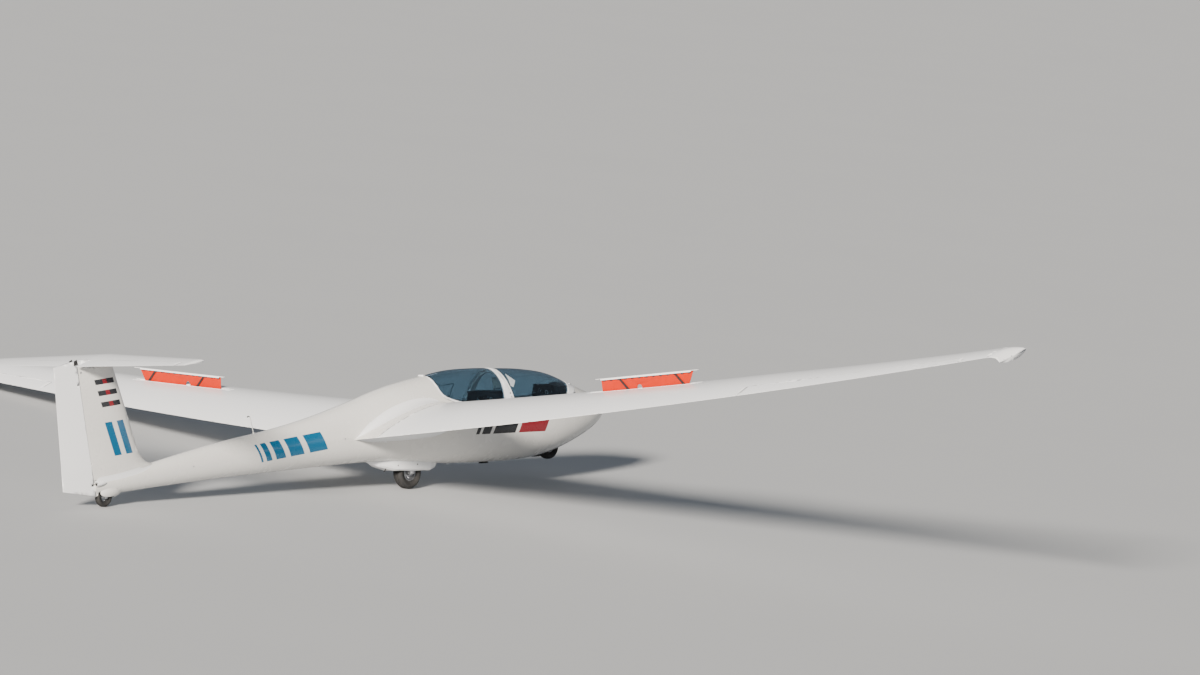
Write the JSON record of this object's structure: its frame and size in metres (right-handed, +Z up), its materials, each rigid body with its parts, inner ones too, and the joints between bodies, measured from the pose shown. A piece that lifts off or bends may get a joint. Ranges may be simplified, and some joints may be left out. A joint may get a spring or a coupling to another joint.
{
  "type": "two-seat training sailplane",
  "caption": "Training sailplane with a T-tail, mid-set wings with open airbrakes, a tandem cockpit under hinged canopies and a fixed wheeled gear.",
  "frame": {"origin": "centre of the bounding box, at the floor that the parked sailplane stands on", "axes": "+X aft, +Y to starboard, along the wings, +Z up from the floor"},
  "size_m": [8.4282, 16.7858, 2.9183],
  "materials": {
    "gelcoat": "polished white gelcoat over glass fibre",
    "cockpit_shell": "speckled grey cockpit paint",
    "panel_black": "matt black textured",
    "steel": "brushed",
    "wheel_alloy": "cast and machined",
    "tyre_rubber": "worn black rubber",
    "canopy_glass": "clear blue-tinted acrylic",
    "signal_orange": "signal orange paint"
  },
  "bodies": {
    "airframe": {"fuselage": "gelcoat", "canopy_arch": "gelcoat", "main_wheel_fairing": "gelcoat", "front_seat": "cockpit_shell", "rear_seat": "cockpit_shell", "front_panel": "panel_black", "rear_panel": "panel_black", "front_stick": "panel_black", "rear_stick": "panel_black", "energy_probe": "steel", "nose_tow_release": "steel", "belly_tow_release": "steel", "wing_right": "gelcoat", "wing_left": "gelcoat", "wing_tip_right": "gelcoat", "wing_tip_left": "gelcoat", "fin": "gelcoat", "tailplane": "gelcoat", "main_wheel_fork": "steel", "nose_wheel_fork": "steel", "tail_wheel_fork": "steel"},
    "front_canopy": {"front_canopy_frame": "gelcoat", "front_canopy_glass": "canopy_glass"},
    "rear_canopy": {"rear_canopy_frame": "gelcoat", "rear_canopy_glass": "canopy_glass"},
    "main_wheel": {"main_tyre": "tyre_rubber", "main_wheel_rim": "wheel_alloy"},
    "nose_wheel": {"nose_tyre": "tyre_rubber", "nose_wheel_rim": "wheel_alloy"},
    "tail_wheel": {"tail_tyre": "tyre_rubber", "tail_wheel_rim": "wheel_alloy"},
    "rudder": {"rudder": "gelcoat"},
    "elevator": {"elevator": "gelcoat"},
    "aileron_right": {"aileron_right": "gelcoat"},
    "aileron_left": {"aileron_left": "gelcoat"},
    "brake_inner_lever_right": {"brake_inner_lever_right": "steel"},
    "brake_outer_lever_right": {"brake_outer_lever_right": "steel"},
    "brake_blade_right": {"brake_blade_right": "signal_orange", "brake_cap_right": "gelcoat"},
    "brake_inner_lever_left": {"brake_inner_lever_left": "steel"},
    "brake_outer_lever_left": {"brake_outer_lever_left": "steel"},
    "brake_blade_left": {"brake_blade_left": "signal_orange", "brake_cap_left": "gelcoat"}
  },
  "joints": [
    {"name": "main_wheel_spin", "type": "hinge", "parent": "airframe", "child": "main_wheel", "pos_m": [-1.04093, 0.21313, 0.17775], "axis": [0.0144, 0.9864, 0.1637], "continuous": true},
    {"name": "nose_wheel_spin", "type": "hinge", "parent": "airframe", "child": "nose_wheel", "pos_m": [-3.32675, 0.21247, 0.38283], "axis": [0.0144, 0.9864, 0.1637], "continuous": true},
    {"name": "tail_wheel_spin", "type": "hinge", "parent": "airframe", "child": "tail_wheel", "pos_m": [3.54118, 0.15857, 0.10335], "axis": [0.0144, 0.9864, 0.1637], "continuous": true},
    {"name": "front_canopy_hinge", "type": "hinge", "parent": "airframe", "child": "front_canopy", "pos_m": [-3.67314, 0.10591, 1.05538], "axis": [-0.0144, -0.9864, -0.1637], "range_deg": [0, 78]},
    {"name": "rear_canopy_hinge", "type": "hinge", "parent": "airframe", "child": "rear_canopy", "pos_m": [-1.29213, 0.04492, 1.21339], "axis": [0.0144, 0.9864, 0.1637], "range_deg": [0, 55]},
    {"name": "rudder_hinge", "type": "hinge", "parent": "airframe", "child": "rudder", "pos_m": [3.70645, 0.15873, 0.08781], "axis": [0.1603, -0.1639, 0.9734], "range_deg": [-30, 30]},
    {"name": "elevator_hinge", "type": "hinge", "parent": "airframe", "child": "elevator", "pos_m": [3.72917, -1.45333, 1.24729], "axis": [0.0144, 0.9864, 0.1637], "range_deg": [-25, 20]},
    {"name": "aileron_right_hinge", "type": "hinge", "parent": "airframe", "child": "aileron_right", "pos_m": [-0.56961, 5.20981, 1.95202], "axis": [-0.031, 0.9604, 0.277], "range_deg": [-20, 20]},
    {"name": "aileron_left_hinge", "type": "hinge", "parent": "airframe", "child": "aileron_left", "pos_m": [-0.72016, -5.10008, 0.24096], "axis": [-0.0596, -0.9971, -0.0478], "range_deg": [-20, 20]},
    {"name": "brake_inner_lever_right_hinge", "type": "hinge", "parent": "airframe", "child": "brake_inner_lever_right", "pos_m": [-1.00403, 3.2935, 1.5995], "axis": [-0.9962, -0.0083, 0.0863], "range_deg": [-45, 0]},
    {"name": "brake_outer_lever_right_hinge", "type": "hinge", "parent": "airframe", "child": "brake_outer_lever_right", "pos_m": [-0.99429, 4.05109, 1.78488], "axis": [-0.9962, -0.0083, 0.0863], "range_deg": [-45, 0]},
    {"name": "brake_blade_right_hinge", "type": "hinge", "parent": "brake_inner_lever_right", "child": "brake_blade_right", "pos_m": [-0.99295, 3.12817, 1.7115], "axis": [-0.9962, -0.0083, 0.0863], "range_deg": [0, 45]},
    {"name": "brake_inner_lever_left_hinge", "type": "hinge", "parent": "airframe", "child": "brake_inner_lever_left", "pos_m": [-1.09828, -3.16108, 0.52828], "axis": [0.996, -0.0083, -0.089], "range_deg": [-45, 0]},
    {"name": "brake_outer_lever_left_hinge", "type": "hinge", "parent": "airframe", "child": "brake_outer_lever_left", "pos_m": [-1.11095, -3.9379, 0.45899], "axis": [0.996, -0.0083, -0.089], "range_deg": [-45, 0]},
    {"name": "brake_blade_left_hinge", "type": "hinge", "parent": "brake_inner_lever_left", "child": "brake_blade_left", "pos_m": [-1.08304, -3.04117, 0.68761], "axis": [0.996, -0.0083, -0.089], "range_deg": [0, 45]}
  ],
  "couplings": [
    {"joint": "aileron_left_hinge", "follows": "aileron_right_hinge", "ratio": 1},
    {"joint": "brake_outer_lever_right_hinge", "follows": "brake_inner_lever_right_hinge", "ratio": 1},
    {"joint": "brake_blade_right_hinge", "follows": "brake_inner_lever_right_hinge", "ratio": -1},
    {"joint": "brake_inner_lever_left_hinge", "follows": "brake_inner_lever_right_hinge", "ratio": 1},
    {"joint": "brake_outer_lever_left_hinge", "follows": "brake_inner_lever_right_hinge", "ratio": 1},
    {"joint": "brake_blade_left_hinge", "follows": "brake_inner_lever_right_hinge", "ratio": -1}
  ]
}
